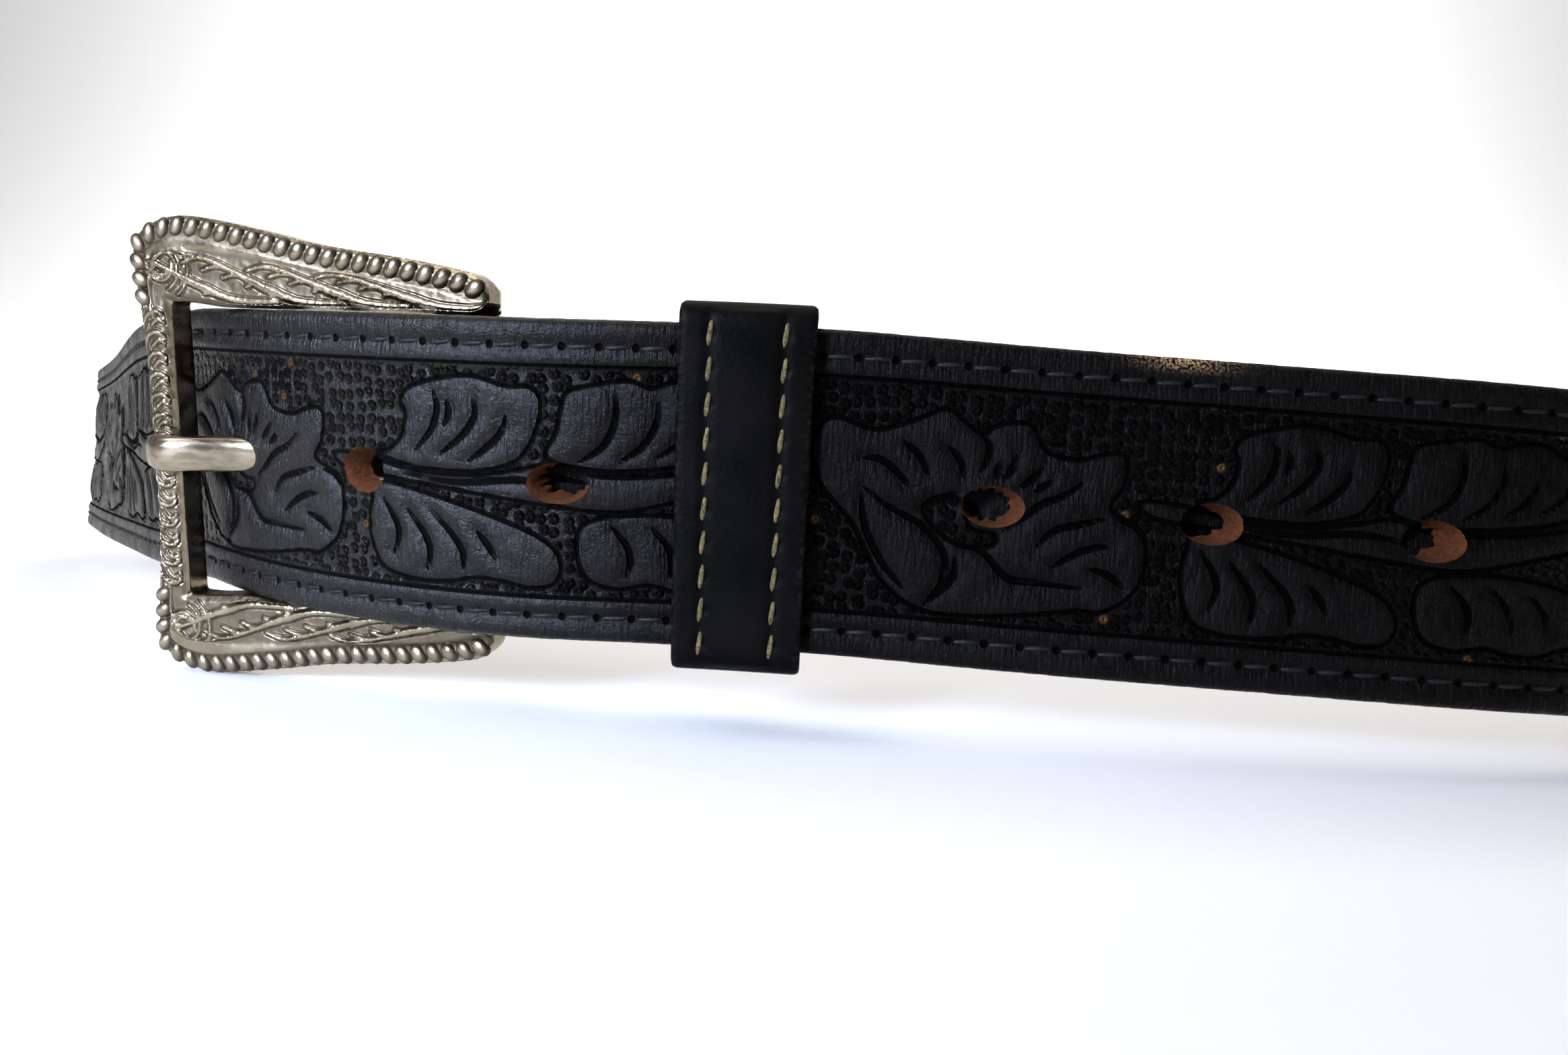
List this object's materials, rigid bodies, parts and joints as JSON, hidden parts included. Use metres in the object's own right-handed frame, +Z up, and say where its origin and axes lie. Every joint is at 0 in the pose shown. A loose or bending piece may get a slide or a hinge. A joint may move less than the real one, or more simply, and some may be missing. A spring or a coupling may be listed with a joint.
{
  "type": "western tooled belt",
  "caption": "Fastened leather strap belt standing on its edge, with floral tooling, a leather keeper and an open-frame buckle with a swinging prong.",
  "frame": {"origin": "middle of the whole belt's bounding box, on the surface that its lower edge and the buckle's lower corner rest on", "axes": "+X runs along the flat front of the belt from the buckle towards the tip, +Y runs from the front through the loop to its back, +Z is up"},
  "size_m": [0.3696, 0.2358, 0.0612],
  "materials": {
    "tooled_leather": "satin",
    "keeper_leather": "satin",
    "antique_silver": "antiqued",
    "bright_silver": "polished"
  },
  "bodies": {
    "root": {"strap": "tooled_leather", "keeper": "keeper_leather", "buckle_frame": "antique_silver", "prong": "bright_silver", "fold_post_1": "bright_silver", "fold_post_2": "bright_silver"}
  },
  "joints": []
}
